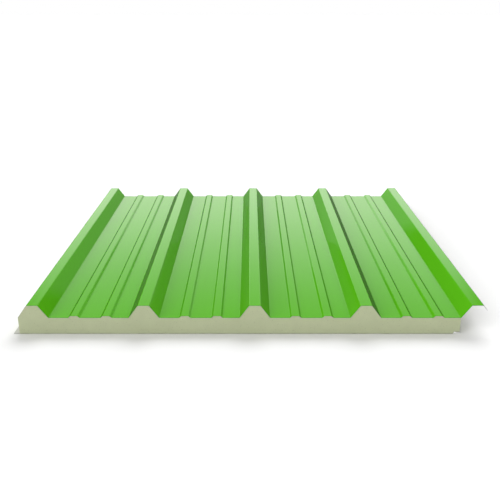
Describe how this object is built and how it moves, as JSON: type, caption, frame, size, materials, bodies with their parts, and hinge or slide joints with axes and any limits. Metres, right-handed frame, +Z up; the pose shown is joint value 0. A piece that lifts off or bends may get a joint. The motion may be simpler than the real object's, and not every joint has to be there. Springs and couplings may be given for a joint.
{
  "type": "insulated sandwich panel",
  "caption": "Flat-lying roof panel of a ribbed painted steel sheet, a rigid foam core and a flat steel liner, with a hollow overlap rib at one edge.",
  "frame": {"origin": "middle of the underside of the whole panel", "axes": "+X across the panel towards the hollow overlap rib, +Y along the ribs, +Z up out of the ribbed face"},
  "size_m": [1.0702, 1, 0.0707],
  "materials": {
    "outer_paint": "gloss",
    "foam": "matte",
    "liner_paint": "satin"
  },
  "bodies": {
    "root": {"outer_sheet": "outer_paint", "foam_core": "foam", "liner_sheet": "liner_paint"}
  },
  "joints": []
}
